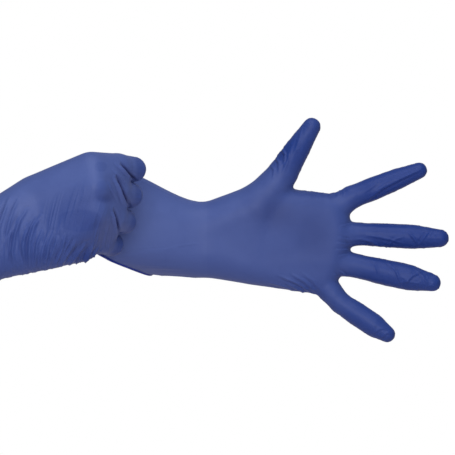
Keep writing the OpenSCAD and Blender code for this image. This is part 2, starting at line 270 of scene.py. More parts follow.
def lattice_noise(p, size, seed):
    """Smooth noise from -1 to 1: random values on a lattice of the given size (one for all axes or
    one for each), joined by a smooth curve."""
    table = np.random.default_rng(seed).uniform(-1, 1, (24, 24, 24))
    q = p / size
    whole = np.floor(q).astype(int)
    part = q - whole
    part = part * part * (3 - 2 * part)
    value = 0.0
    for corner in np.ndindex(2, 2, 2):
        at = (whole + corner) % 24
        weight = np.prod(np.where(np.array(corner) == 1, part, 1 - part), axis=-1)
        value = value + weight * table[at[..., 0], at[..., 1], at[..., 2]]
    return value


def ridges(p, size, seed):
    """Sharp-crested folds from 0 to 1: the zero lines of lattice noise, drawn out as crests."""
    return np.maximum(0, 1 - 3.2 * np.abs(lattice_noise(p, size, seed))) ** 1.5


def bump_at(p, centre, radii):
    """1 at a centre, falling off as a bell of the given radii along each axis."""
    q = (p - np.array(centre)) / np.array(radii)
    return np.exp(-(q * q).sum(-1))


def fold_line(p, path, width, height):
    """Height of one fold along a path of (x, z) points: a bell-shaped crest, with a trough half as
    deep on its lower side, fading out at both ends of the path."""
    path = np.array(path, float)
    flat = p[:, [0, 2]]
    lengths = np.linalg.norm(np.diff(path, axis=0), axis=1)
    run = np.concatenate([[0], np.cumsum(lengths)]) / lengths.sum()
    away, share = np.full(len(p), 1e3), np.zeros(len(p))
    for a, b, start, end in zip(path[:-1], path[1:], run[:-1], run[1:]):
        line = b - a
        t = np.clip((flat - a) @ line / (line @ line), 0, 1)
        gap = flat - a - t[:, None] * line
        side = np.where(gap[:, 0] * line[1] - gap[:, 1] * line[0] < 0, -1.0, 1.0)
        distance = np.hypot(gap[:, 0], gap[:, 1])
        nearer = distance < np.abs(away)
        away = np.where(nearer, distance * side, away)
        share = np.where(nearer, start + t * (end - start), share)
    fade = np.clip(4 * share, 0, 1) * np.clip(4 * (1 - share), 0, 1)
    crest = np.exp(-((away / width) ** 2)) - 0.5 * np.exp(-(((away - 1.7 * width) / width) ** 2))
    return height * (0.25 + 0.75 * fade) * crest


def heading(degrees):
    """Unit direction in the upright plane, up from +X."""
    return np.array([np.cos(np.radians(degrees)), 0.0, np.sin(np.radians(degrees))])


def chain(start, along, palmar, pitches, lengths):
    """Joint points of a finger: each bone leaves along its heading, pitched towards the palm."""
    points = [np.array(start, float)]
    for pitch, length in zip(pitches, lengths):
        turn = np.radians(pitch)
        points.append(points[-1] + length * (np.cos(turn) * along + np.sin(turn) * palmar))
    return points


def square_to(palmar, along):
    """The part of palmar that is square to along, as a unit vector."""
    rest = np.array(palmar) - (np.array(palmar) @ along) * along
    return rest / np.linalg.norm(rest)


class Digit:
    """A finger or thumb: its joint points, the film's radius at each, and how far each side of a
    joint the film turns."""

    def __init__(self, name, points, radii, before, after):
        self.name, self.points, self.radii = name, points, radii
        self.bones = len(points) - 1
        self.before, self.after = before, after

    def distances(self, p):
        """Distance to each bone of the digit."""
        ends, sizes = self.points, self.radii
        return np.stack([bone(p, ends[k], ends[k + 1], sizes[k], sizes[k + 1]) for k in range(self.bones)])

    def bend(self, k):
        """Start and end of the film that turns at joint k."""
        onward = self.points[k + 1] - self.points[k]
        onward = onward / np.linalg.norm(onward)
        back = onward
        if k > 0:
            back = self.points[k] - self.points[k - 1]
            back = back / np.linalg.norm(back)
        return self.points[k] - self.before[k] * back, self.points[k] + self.after[k] * onward

    def past(self, p, nearest, k):
        """Is each point past the start of the bend at joint k?"""
        start, end = self.bend(k)
        beyond = (p - start) @ (end - start) > 0
        return (nearest > k) | ((nearest >= k - 1) & beyond)


def glove_skin(field_of, low, high):
    """Vertices and quads of the zero level of a distance field in a box."""
    axes = [np.arange(a, b + GRID, GRID) for a, b in zip(low, high)]
    grid = np.stack(np.meshgrid(*axes, indexing="ij"), -1)
    field = np.concatenate([field_of(layer).astype(np.float32) for layer in np.array_split(grid, 12)])
    points, faces = surface_net(field, np.array(low, float), GRID)
    points = settled(field_of, points)
    points, faces = refined(points, faces)
    return settled(field_of, points), faces


def settled(field_of, points):
    """The points moved along the field's slope on to its zero level, in two short steps."""
    for _ in range(2):
        value, slope = field_of(points), field_slope(field_of, points)
        points = points - np.clip(value, -0.8, 0.8)[:, None] * slope
    return points


def refined(points, faces):
    """Each quad in four: a new point halfway along each edge and one in each quad's middle."""
    ends = np.sort(np.stack([faces, np.roll(faces, -1, 1)], -1).reshape(-1, 2), axis=1)
    edges, which = np.unique(ends, axis=0, return_inverse=True)
    halfway = len(points) + which.reshape(-1, 4)
    middle = len(points) + len(edges) + np.arange(len(faces))
    points = np.concatenate([points, points[edges].mean(1), points[faces].mean(1)])
    quads = [np.stack([faces[:, k], halfway[:, k], middle, halfway[:, k - 1]], -1) for k in range(4)]
    return points, np.concatenate(quads)


def field_slope(field_of, p):
    """Unit direction in which the field grows fastest, from differences of 0.4 mm."""
    step = 0.2
    slope = np.stack([field_of(p + step * e) - field_of(p - step * e) for e in np.eye(3)], -1)
    return slope / np.linalg.norm(slope, axis=-1, keepdims=True)


def vertex_normals(points, faces):
    """Area-weighted mean of the quads' normals at each vertex."""
    n = np.cross(points[faces[:, 2]] - points[faces[:, 0]], points[faces[:, 3]] - points[faces[:, 1]])
    total = np.zeros_like(points)
    for k in range(4):
        np.add.at(total, faces[:, k], n)
    return total / np.maximum(np.linalg.norm(total, axis=1, keepdims=True), 1e-12)


def eased(normals, smooth, share):
    """Normals that are the field's own where share is 0 and the mesh's own from share 1 on, so
    that two pieces which meet there are shaded as one."""
    share = np.clip(share, 0, 1)[:, None]
    mixed = normals * share + smooth * (1 - share)
    return mixed / np.maximum(np.linalg.norm(mixed, axis=1, keepdims=True), 1e-12)


def film_piece(name, points, faces, normals, stretch, fold, material, lining=0.0, lined=None):
    """A mesh of the used points. With a lining, an inner wall faces the other way behind all the
    quads, or behind those that lined picks out."""
    used, packed = np.unique(faces, return_inverse=True)
    packed = packed.reshape(faces.shape)
    p, n, s, f = points[used], normals[used], stretch[used], fold[used]
    if lining:
        count = len(p)
        behind = packed if lined is None else packed[lined]
        packed = np.concatenate([packed, behind[:, ::-1] + count])
        p, n = np.concatenate([p, p - lining * n]), np.concatenate([n, -n])
        s, f = np.tile(s, 2), np.tile(f, 2)
    mesh = bpy.data.meshes.new(name)
    mesh.vertices.add(len(p))
    mesh.vertices.foreach_set("co", (p / 1000).astype(np.float32).ravel())
    mesh.loops.add(packed.size)
    mesh.loops.foreach_set("vertex_index", packed.astype(np.int32).ravel())
    mesh.polygons.add(len(packed))
    mesh.polygons.foreach_set("loop_start", np.arange(0, packed.size, 4, dtype=np.int32))
    mesh.update(calc_edges=True)
    mesh.validate()
    # stretch makes the film paler; fold carries the painted shade of troughs, creases and hollows.
    for key, value in (("stretch", s), ("fold", f)):
        mesh.attributes.new(key, "FLOAT", "POINT").data.foreach_set("value", value.astype(np.float32))
    mesh.polygons.foreach_set("use_smooth", np.ones(len(mesh.polygons), bool))
    mesh.normals_split_custom_set_from_vertices(n.astype(np.float32))
    mesh.materials.append(material)
    piece = bpy.data.objects.new(name, mesh)
    bpy.context.scene.collection.objects.link(piece)
    return piece


def cut_into_pieces(side, points, faces, normals, stretch, fold, digits, wrist, forward):
    """Shares the skin's quads between the palm and each digit's zones, ties the palm to the hand's
    body, and makes each zone a mesh of its own."""
    centre = points[faces].mean(1)
    owner = np.full(len(faces), -1)
    zone = np.zeros(len(faces), int)
    farthest_film = 6.0
    best = np.full(len(faces), farthest_film)
    for number, digit in enumerate(digits):
        gaps = digit.distances(centre)
        nearest, gap = gaps.argmin(0), gaps.min(0)
        depth = sum(digit.past(centre, nearest, k).astype(int) for k in range(digit.bones))
        depth = np.where(digit.past(centre, nearest, 0), np.maximum(depth, 1), 0)
        mine = (depth > 0) & (gap < best)
        owner[mine], zone[mine], best[mine] = number, depth[mine] - 1, gap[mine]
    hand = f"{side}_hand"
    kept = faces[owner < 0]
    near_wrist = ((points[kept].mean(1) - wrist) @ forward) < INNER_WALL_REACH
    palm = film_piece(
        f"{side}_palm_film", points, kept, normals, stretch, fold, nitrile, INNER_WALL_DEPTH, near_wrist
    )
    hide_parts(f"{side}_palm")
    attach(palm, hand)
    for number, digit in enumerate(digits):
        zones = ("base", "middle", "tip") if digit.bones == 3 else ("base", "tip")
        for k, part in enumerate(zones):
            node = f"{side}_{digit.name}_{part}"
            own = faces[(owner == number) & (zone == k)]
            piece = film_piece(node + "_film", points, own, normals, stretch, fold, nitrile)
            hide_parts(node)
            start, end = digit.bend(k)
            tuple(start / 1000)
            tuple(end / 1000)
            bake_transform(piece)


# ---- Left glove: palm, fingers and thumb ----
# An open hand, its palm to the front. The film is drawn smooth over the palm, gathers in small
# rays at the roots of the fingers, and wrinkles a little on the fingers' joints and tips.
FINGER_NAMES = ("index", "middle", "ring", "little")
LENGTHS = ((17, 21.5, 16.8), (19, 24, 18.7), (18.5, 23.5, 18.3), (14.5, 17, 12))
FRONT = np.array([0.0, -1.0, 0.0])
BACK = np.array([0.0, 1.0, 0.0])


def left_digits():
    """The left glove's fingers and thumb."""
    roots = ((112.4, -1, 33.2), (117.6, 0, 4.6), (115.8, 0, -20.2), (103.5, -2, -49.0))
    spreads = (21.6, -3, -12.5, -33.8)
    pitches = ((2, 3, 5), (0, 3.5, 6), (3, 5, 9), (6, 9, 13))
    radii = ((8.6, 8.8, 7.9, 6.2), (8.5, 9.1, 9.2, 6.7), (8.8, 9.8, 9.9, 6.6), (8.0, 8.9, 8.8, 6.3))
    longer_tips = (0.9, 1.8, 0.4, 0.4)
    made = []
    for n, r, s, p, l, q, more in zip(FINGER_NAMES, roots, spreads, pitches, LENGTHS, radii, longer_tips):
        points = chain(r, heading(s), FRONT, p, (l[0], l[1], l[2] + more))
        made.append(Digit(n, points, q, (7, 8, 9), (5, 8, 7)))
    along = np.array([0.515, -0.16, 0.86])
    along = along / np.linalg.norm(along)
    palmar = square_to((0.5, -0.81, -0.31), along)
    points = chain((58.9, -7, 51.8), along, palmar, (0, 2), (18.3, 24.6))
    return [*made, Digit("thumb", points, (11.2, 9.7, 6.8), (6, 8), (5, 9))]


LEFT_DIGITS = left_digits()
LEFT_KNUCKLES = np.array([[97, 0, 23], [99.8, 0, 4], [96, 0, -16], [88.5, 0, -31.2]], float)


def left_wrist_end(p):
    """The left wrist and forearm: a flattened tube along X, 57 mm wide and 40 mm deep."""
    up = np.clip(p[..., 2], -8.9, 8.9)
    return np.sqrt(p[..., 1] ** 2 + (p[..., 2] - up) ** 2) - 20.2


def left_palm_form(p):
    """Distance field of the left palm: the wrist, the heel, the pads at the thumb and at the little
    finger's side, the plates out to the knuckles, and the web beside the thumb."""
    heel, low_heel = np.array([3, 0, 8.9]), np.array([3, 0, -8.9])
    thenar, side_pad = np.array([40.0, -4, 26]), np.array([36.0, 0, -18.5])
    palm = plate(p, heel, low_heel, side_pad, 20.2, 20.2, 16.1)
    for a, b, c, ra, rb, rc in (
        (heel, thenar, side_pad, 20.2, 17.2, 16.1),
        (thenar, LEFT_KNUCKLES[0], LEFT_KNUCKLES[1], 16.0, 12.4, 13.2),
        (thenar, side_pad, LEFT_KNUCKLES[1], 16.0, 16.1, 13.2),
        (side_pad, LEFT_KNUCKLES[1], LEFT_KNUCKLES[2], 16.1, 13.2, 12.6),
        (side_pad, LEFT_KNUCKLES[2], LEFT_KNUCKLES[3], 16.1, 12.6, 11.0),
    ):
        palm = np.minimum(palm, plate(p, a, b, c, ra, rb, rc))
    web = plate(p, thenar, LEFT_KNUCKLES[0], np.array([62.0, -4, 34]), 12, 7.5, 2.2)
    palm = melt(palm, web, 2)
    wrist = left_wrist_end(p) + 0.02 * np.maximum(p[..., 0], 0) ** 2
    return np.minimum(palm, wrist)


def left_form(p):
    """Distance field of the whole left hand: the softened palm, the thumb's root and the digits."""
    thumb = LEFT_DIGITS[4]
    thumb_root = bone(p, np.array([40.0, -4, 26]), thumb.points[0], 17.0, 11.2)
    palm = melt(left_palm_soft(p) - 0.45, thumb_root, 4)
    root_radii = (11.8, 12.6, 12.0, 10.4)
    digits = None
    for k, digit in enumerate(LEFT_DIGITS):
        own = digit.distances(p).min(0)
        if k < 4:
            root = bone(p, LEFT_KNUCKLES[k], digit.points[0], root_radii[k], digit.radii[0])
            palm = melt(palm, root, 1)
        digits = own if digits is None else melt(digits, own, 1)
    return melt(palm, digits, 2) - 0.2


def keep_past(points, faces, level, direction):
    """The quads whose every corner lies past a plane, with the cut ring moved on to the plane."""
    height = points @ direction - level
    reach = 0.62 * GRID
    faces = faces[(height[faces] > -reach).all(1)]
    rim = (height < 0.3 * GRID) & (height > -reach)
    points = points - np.where(rim, height, 0)[:, None] * direction
    return points, faces


left_palm_soft = Softened(left_palm_form, (-8, -36, -96), (140, 36, 80), 4.6)
left_field = Softened(left_form, (-8, -36, -96), (200, 36, 110), 2.2)
left_points, left_faces = glove_skin(left_field, (-3.9, -32, -92), (196, 32, 106))
left_points, left_faces = keep_past(left_points, left_faces, 0.0, np.array([1.0, 0, 0]))
left_normals = vertex_normals(left_points, left_faces)


LEFT_FOLDS = (
    # index: the long slanting fold out to the tip, and two fainter ones above it
    (((124, 31), (136, 40), (149, 47), (160, 52), (166, 55)), 1.0, 0.75),
    (((128, 36), (138, 43), (150, 49.5)), 0.9, 0.4),
    (((122, 37), (133, 45)), 0.9, 0.25),
    # middle: the crease from the web, the dent under the middle joint and the V near the tip
    (((112, 0), (120, 0.4), (128, -1.5), (134, -5), (138, -8)), 1.0, 0.5),
    (((124, 3.5), (134, 2), (143, 0), (152, -3)), 0.9, 0.4),
    (((156, 6), (160, 1.5), (164, -4)), 0.8, 0.5),
    (((172, 6.5), (168, 2), (164, -4)), 0.8, 0.5),
    (((139, -5), (146, 0.5), (152, 2)), 0.8, 0.3),
    # ring
    (((130, -17), (133, -27)), 0.8, 0.3),
    (((140, -17), (147, -25), (150, -34)), 0.8, 0.4),
    (((152, -35), (159, -28), (168, -24)), 0.8, 0.4),
    (((160, -21), (167, -28), (172, -36)), 0.8, 0.35),
    (((145, -34), (155, -32), (165, -34)), 0.8, 0.3),
    # little
    (((128, -73), (134, -68.5), (141, -69)), 0.8, 0.35),
    (((134, -76), (139, -72), (143, -72)), 0.8, 0.35),
    # thumb: short folds behind its knuckle, and a long soft one
    (((57, 71.5), (60.6, 66), (59.5, 59)), 0.9, 0.6),
    (((52, 65), (56, 59.5), (55.4, 53.5)), 0.9, 0.6),
    (((63.5, 70), (62.5, 61.5), (58.5, 52)), 0.9, 0.45),
    (((48, 60), (52, 54), (51, 48)), 0.9, 0.4),
    (((74, 90), (71.5, 79), (68, 67)), 1.1, 0.3),
    # side of the palm
    (((56, -28), (69, -33), (76, -37), (82, -42)), 1.0, 0.7),
    (((66, -27), (75, -32), (84, -40)), 1.0, 0.6),
    (((62, -34), (71, -38), (77, -42)), 0.9, 0.7),
    (((74, -26), (82, -32), (88, -39)), 1.0, 0.4),
    (((48, -33), (58, -35.5), (66, -38.5)), 0.9, 0.5),
    # rays at the webs
    (((111.5, -0.5), (102, 2)), 0.7, 0.45),
    (((111, -4), (101, -2.3)), 0.7, 0.5),
    (((110.5, -7.7), (100, -7.9)), 0.7, 0.45),
    (((111, -11), (102, -12.6)), 0.7, 0.45),
    (((109.5, -29), (103, -24)), 0.7, 0.4),
    (((105.5, -31.5), (98, -26)), 0.7, 0.4),
    (((112, 12.5), (103, 10.6)), 0.7, 0.3),
)


def left_wrinkles(p, n):
    """Height of the film's folds, in millimetres, and how slack the film is, from 0 to 1."""
    height = np.zeros(len(p))
    slack = np.zeros(len(p))
    finger_slack = (0.7, 0.72, 0.55, 0.45, 0.45)
    front_crumple = (0.3, 0.8, 1.0, 0.4, 0.35)
    front = np.clip(0.3 - 1.6 * n[:, 1], 0, 1)
    for path, width, high in LEFT_FOLDS:
        height += 1.25 * front * fold_line(p, path, width, high)
    for k, digit in enumerate(LEFT_DIGITS):
        along = digit.points[-1] - digit.points[0]
        length = np.linalg.norm(along)
        along = along / length
        across = np.cross(BACK, along)
        q = p - digit.points[0]
        local = np.stack([q @ along, q @ BACK, q @ across], -1)
        near = np.clip(1 - (digit.distances(p).min(0) - 1.5) / 3, 0, 1)
        on = near * np.clip((local[:, 0] + 3) / 8, 0, 1)
        drawn = near * np.clip((local[:, 0] + 10) / 24, 0, 1)
        sway = local + 2.5 * lattice_noise(local, 8.0, 41 + k)[:, None]
        short_folds = ridges(sway, (4.5, 6.0, 3.4), 11 + k) * 0.22
        crumple = short_folds + ridges(sway + 40, (14.0, 5.0, 3.2), 31 + k) * 0.2
        busy = front_crumple[k] * np.clip(local[:, 0] / length + 0.1, 0, 1)
        height += on * crumple * (busy + (1 - busy) * (n[:, 1] > 0) * 0.8)
        slack += drawn * finger_slack[k]
    for centre, radii, size, high, seed in (
        ((54, 0, 72), (20, 40, 12), (4.4, 9.0, 9.0), 0.55, 5),
        ((93, 0, 37), (19, 40, 5), (3.6, 7.0, 9.0), 0.6, 9),
        ((134, 0, -6), (9, 40, 4), (3.6, 7.0, 6.0), 0.7, 13),
        ((75, 0, -42), (18, 40, 8), (6.0, 14.0, 5.0), 0.6, 7),
    ):
        edge = bump_at(p, centre, radii)
        height += high * edge * ridges(p, size, seed)
        slack += 0.4 * edge
    thumb_hollow = 0.5 * bump_at(p, (52, -18, 22), (20, 30, 12))
    palm_hollow = 0.4 * bump_at(p, (82, -14, 4), (20, 30, 20))
    height -= thumb_hollow + palm_hollow
    height += 0.12 * lattice_noise(p, 17.0, 3)
    return height, np.clip(slack, 0, 1)


left_height, left_slack = left_wrinkles(left_points, left_normals)
left_height *= np.clip((left_points[:, 0] - 2) / 12, 0, 1)
left_smooth = field_slope(left_field, left_points)
left_points += left_height[:, None] * left_normals
left_normals = eased(vertex_normals(left_points, left_faces), left_smooth, left_points[:, 0] / 4)
left_stretch = np.clip(0.64 - 0.9 * left_slack, 0, 1)
left_stretch *= np.clip(1.1 - left_points[:, 0] / 260, 0, 1)
# Painted shade: the deeper a fold's trough or a hollow of the palm, the darker its colour.
left_crease_shade = np.clip(-0.6 * np.minimum(left_height, 0), 0, 1)
cut_into_pieces(
    "left", left_points, left_faces, left_normals, left_stretch, left_crease_shade,
    LEFT_DIGITS, wrist=np.zeros(3), forward=np.array([1.0, 0, 0]),
)

# ---- Left glove: cuff ----
# The sleeve of film from the wrist to the rim. The other glove holds its front edge, so the film
# is drawn out there into a smooth tent, thin and pale, while the far side hangs round the wrist.
LEFT_RIM = np.array([
    (-44.5, 2, -27), (-60, -20, -21.5), (-77, -39, -14), (-87.5, -46.9, -5), (-91, -47.3, 20),
    (-88, -46.9, 46), (-80, -43.5, 57), (-66, -27, 50), (-55, -4, 38), (-48, 16, 15),
    (-45, 22, -7), (-43.5, 15, -22),
])
CUFF_COLUMNS, CUFF_ROWS = 264, 84


def closed_curve(points, t):
    """A smooth closed curve through points; t runs once round from 0 to 1."""
    n = len(points)
    s = (t * n) % n
    i = np.floor(s).astype(int)
    f = (s - i)[:, None]
    a, b, c, d = (points[(i + k) % n] for k in (-1, 0, 1, 2))
    return 0.5 * (2 * b + (c - a) * f + (2 * a - 5 * b + 4 * c - d) * f**2 + (3 * b - a - 3 * c + d) * f**3)


def film_lines(start, pull_out, end, pull_in, t):
    """Curves from start to end, leaving along pull_out and arriving along pull_in."""
    t = t[:, None, None]
    return (
        (2 * t**3 - 3 * t**2 + 1) * start + (t**3 - 2 * t**2 + t) * pull_out
        + (3 * t**2 - 2 * t**3) * end + (t**3 - t**2) * pull_in
    )


def on_outline(field_of, middle, rays):
    """Where each ray from the middle meets the field's zero level, by halving from 0 to 60 mm."""
    near, far = np.zeros(len(rays)), np.full(len(rays), 60.0)
    for _ in range(26):
        half = (near + far) / 2
        inside = field_of(middle + half[:, None] * rays) < 0
        near, far = np.where(inside, half, near), np.where(inside, far, half)
    return middle + near[:, None] * rays


def leaving_along(normals, direction):
    """The direction, laid flat against the surface that has these normals, as unit vectors."""
    flat = direction - (normals @ direction)[:, None] * normals
    return flat / np.linalg.norm(flat, axis=1, keepdims=True)


def sheet_faces(rows, columns):
    """Quads of a grid of points that closes on itself along its columns."""
    r, c = np.meshgrid(np.arange(rows - 1), np.arange(columns), indexing="ij")
    a, b = r * columns + c, r * columns + (c + 1) % columns
    return np.stack([a, b, b + columns, a + columns], -1).reshape(-1, 4)


turn = np.arange(CUFF_COLUMNS) / CUFF_COLUMNS
rays = np.stack([np.zeros_like(turn), -np.sin(2 * np.pi * turn), -np.cos(2 * np.pi * turn)], -1)
left_start = on_outline(left_field, np.zeros(3), rays)
left_rim = closed_curve(LEFT_RIM, turn)
reach = np.linalg.norm(left_rim - left_start, axis=1, keepdims=True)
rows = np.linspace(0, 1, CUFF_ROWS)
start_normals = field_slope(left_field, left_start)
leaving = leaving_along(start_normals, np.array([-1.0, 0, 0]))
arriving = 0.9 * (left_rim - left_start)
arriving[:, 2] -= 24 * np.exp(-(((turn - 0.52) / 0.13) ** 2))  # keeps the top edge high
cuff = film_lines(left_start, 0.7 * reach * leaving, left_rim, arriving, rows)
cuff_points = cuff.reshape(-1, 3)
cuff_faces = sheet_faces(CUFF_ROWS, CUFF_COLUMNS)
cuff_normals = vertex_normals(cuff_points, cuff_faces)
if (cuff_normals * (cuff_points - np.array([-30, 0, 5]))).sum() < 0:
    cuff_faces = cuff_faces[:, ::-1]
    cuff_normals = -cuff_normals
row_share = np.repeat(rows, CUFF_COLUMNS)
turn_share = np.tile(turn, CUFF_ROWS)
held = np.exp(-(((turn_share - 0.33) / 0.17) ** 2))
rays_from_pinch = np.stack([turn_share * 260, row_share * 40, 0 * turn_share], -1)
tension = ridges(rays_from_pinch, (7.0, 60.0, 9.0), 21) * row_share**1.5 * held
loose = ridges(rays_from_pinch, (13.0, 22.0, 9.0), 22) * (1 - held)
near_neither_end = np.clip(row_share * 8, 0, 1) * np.clip((1 - row_share) * 12, 0, 1)
cuff_height = (0.5 * tension + 0.5 * loose) * near_neither_end
cuff_points = cuff_points + cuff_height[:, None] * cuff_normals
cuff_normals = eased(
    vertex_normals(cuff_points, cuff_faces), np.tile(start_normals, (CUFF_ROWS, 1)), row_share * 14
)
cuff_stretch = np.clip(0.70 + row_share * (0.7 * held - 0.1), 0, 1)
left_cuff = film_piece(
    "left_cuff_film", cuff_points, cuff_faces, cuff_normals,
    cuff_stretch, 0.0 * cuff_stretch, nitrile, INNER_WALL_DEPTH,
)
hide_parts("left_cuff")
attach(left_cuff, "left_hand")


# ---- Rolled beads ----
# The rim of each cuff, rolled on itself when the glove was dipped. It is a firm ring, about 2 mm
# thick, darker than the film because it holds many layers.
BEAD_RADIUS = 1.05


def bead(name, line, radius, seed):
    """A round section carried along a closed line, its radius swelling and thinning a little."""
    sides = 14
    n = len(line)
    along = np.roll(line, -1, 0) - np.roll(line, 1, 0)
    along = along / np.linalg.norm(along, axis=1, keepdims=True)
    across = np.cross(along, np.array([1.0, 0, 0]))
    across = across / np.linalg.norm(across, axis=1, keepdims=True)
    over = np.cross(along, across)
    a = 2 * np.pi * np.arange(sides) / sides
    r = radius * (1 + 0.12 * lattice_noise(line, 6.0, seed))[:, None, None]
    ring = np.cos(a)[None, :, None] * across[:, None] + np.sin(a)[None, :, None] * over[:, None]
    points = (line[:, None] + r * ring).reshape(-1, 3)
    i, j = np.meshgrid(np.arange(n), np.arange(sides), indexing="ij")
    i1, j1 = (i + 1) % n, (j + 1) % sides
    faces = np.stack([i * sides + j, i * sides + j1, i1 * sides + j1, i1 * sides + j], -1).reshape(-1, 4)
    normals = ring.reshape(-1, 3)
    if (vertex_normals(points, faces) * normals).sum() < 0:
        faces = faces[:, ::-1]
    zero = np.zeros(len(points))
    return film_piece(name, points, faces, normals, zero, zero, rim_nitrile)


left_rim_line = cuff_points.reshape(CUFF_ROWS, CUFF_COLUMNS, 3)[-1]
left_bead = bead("left_cuff_bead_roll", left_rim_line, BEAD_RADIUS, 51)
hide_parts("left_cuff_bead")
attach(left_bead, "left_hand")

# ---- Right glove: palm, fingers and thumb ----
# A closed hand, its back to the front. The fingers curl back over the other glove's rim and the
# thumb presses it from behind. The film is slack on the wrist and gathers in many fine folds.
THUMB_LENGTHS = (18.3, 22.8)
RIGHT_SLOPE = 20.0
RIGHT_WRIST = np.array([-163.0, -98, -3])
RIGHT_U, RIGHT_W = heading(RIGHT_SLOPE), heading(RIGHT_SLOPE + 90)


def right_digits():
    """The right glove's fingers and thumb. Each finger's chain is placed by its middle joint."""
    joints = ((-55.9, -72.1, 54.0), (-58.6, -72.7, 34.2), (-62.8, -71.7, 14.2), (-72.4, -67.5, -3.4))
    spreads = (-4, -14, -20, -22)
    pitches = (46, 55, 58, 52)
    radii = ((10.6, 9.6, 8.4, 7.3), (10.6, 9.7, 8.8, 7.8), (10.6, 9.3, 8.7, 7.8), (10.0, 8.8, 7.9, 7.2))
    made = []
    for n, at, s, p, l, q in zip(FINGER_NAMES, joints, spreads, pitches, LENGTHS, radii):
        first = np.cos(np.radians(p)) * heading(s) + np.sin(np.radians(p)) * BACK
        points = chain(np.array(at) - l[0] * first, heading(s), BACK, (p, p + 85, p + 135), l)
        made.append(Digit(n, points, q, (7, 5, 4), (4, 5, 5)))
    along = np.array([0.55, 0.82, -0.11])
    along = along / np.linalg.norm(along)
    palmar = square_to((0.83, -0.55, -0.05), along)
    points = chain((-110, -53, 35), along, palmar, (0, 40), THUMB_LENGTHS)
    return [*made, Digit("thumb", points, (10.8, 9.8, 7.6), (6, 6), (5, 7))]


RIGHT_DIGITS = right_digits()


def right_back(p):
    """Distance field of the right hand without its fingers: the wrist, the plates of the palm and
    back, the film between the knuckles, and the slack that hangs under the edge."""
    heel = RIGHT_WRIST + 10 * RIGHT_W + 3 * RIGHT_U
    low_heel = RIGHT_WRIST - 7.5 * RIGHT_W + 3 * RIGHT_U
    thenar, side_pad = np.array([-130.0, -94.5, 32.5]), np.array([-118.0, -98, -3.5])
    knuckles = np.array([[-88, -102, 54.8], [-85, -109.6, 40], [-86, -107.3, 20.7], [-93, -93.5, 2]])
    thick = 12.0
    roots = [digit.points[0] for digit in RIGHT_DIGITS]
    palm = plate(p, heel, low_heel, side_pad, 19.7, 19.7, 17.5)
    for a, b, c, ra, rb, rc in (
        (heel, thenar, side_pad, 19.7, 16.5, 17.5),
        (thenar, knuckles[0], knuckles[1], 16.5, thick, thick),
        (thenar, side_pad, knuckles[1], 16.5, 17.5, thick),
        (side_pad, knuckles[1], knuckles[2], 17.5, thick, thick),
        (side_pad, knuckles[2], knuckles[3], 17.5, thick, thick),
        (side_pad, knuckles[3], np.array([-95.0, -88, -5.5]), 17.5, thick, 11.0),
        (knuckles[0], knuckles[1], roots[0], 11.6, 11.6, 10.2),
        (knuckles[1], roots[0], roots[1], 11.6, 10.2, 10.2),
        (knuckles[1], knuckles[2], roots[1], 11.6, 11.6, 10.2),
        (knuckles[2], roots[1], roots[2], 11.6, 10.2, 10.2),
        (knuckles[2], knuckles[3], roots[2], 11.6, 11.6, 10.2),
        (knuckles[3], roots[2], roots[3], 11.6, 10.2, 9.8),
    ):
        palm = np.minimum(palm, plate(p, a, b, c, ra, rb, rc))
    for k, digit in enumerate(RIGHT_DIGITS[:4]):
        palm = np.minimum(palm, bone(p, knuckles[k], digit.points[0], thick, digit.radii[0]))
    thumb = RIGHT_DIGITS[4]
    palm = melt(palm, bone(p, thenar, thumb.points[0], 14, thumb.radii[0]), 3)
    q = p - RIGHT_WRIST
    up, along = q @ RIGHT_W, q @ RIGHT_U
    held = up - np.clip(up, -7.5, 10)
    wrist = np.sqrt(q[..., 1] ** 2 + held**2) - 19.7 + 0.02 * np.maximum(along, 0) ** 2
    return np.minimum(palm, wrist) - 0.2


right_back_soft = Softened(right_back, (-182, -144, -54), (-30, -4, 90), 4.8)


def right_field(p):
    """Distance field of the whole right hand: the softened back, melted into the fingers, which
    press together in tight creases."""
    fingers = None
    for digit in RIGHT_DIGITS:
        own = digit.distances(p).min(0)
        fingers = own if fingers is None else melt(fingers, own, 0.7)
    return melt(right_back_soft(p) - 0.5, fingers, 2.2)


right_points, right_faces = glove_skin(right_field, (-174, -134, -46), (-38, -12, 82))
right_points, right_faces = keep_past(
    right_points, right_faces, RIGHT_WRIST @ RIGHT_U, RIGHT_U
)
right_normals = vertex_normals(right_points, right_faces)


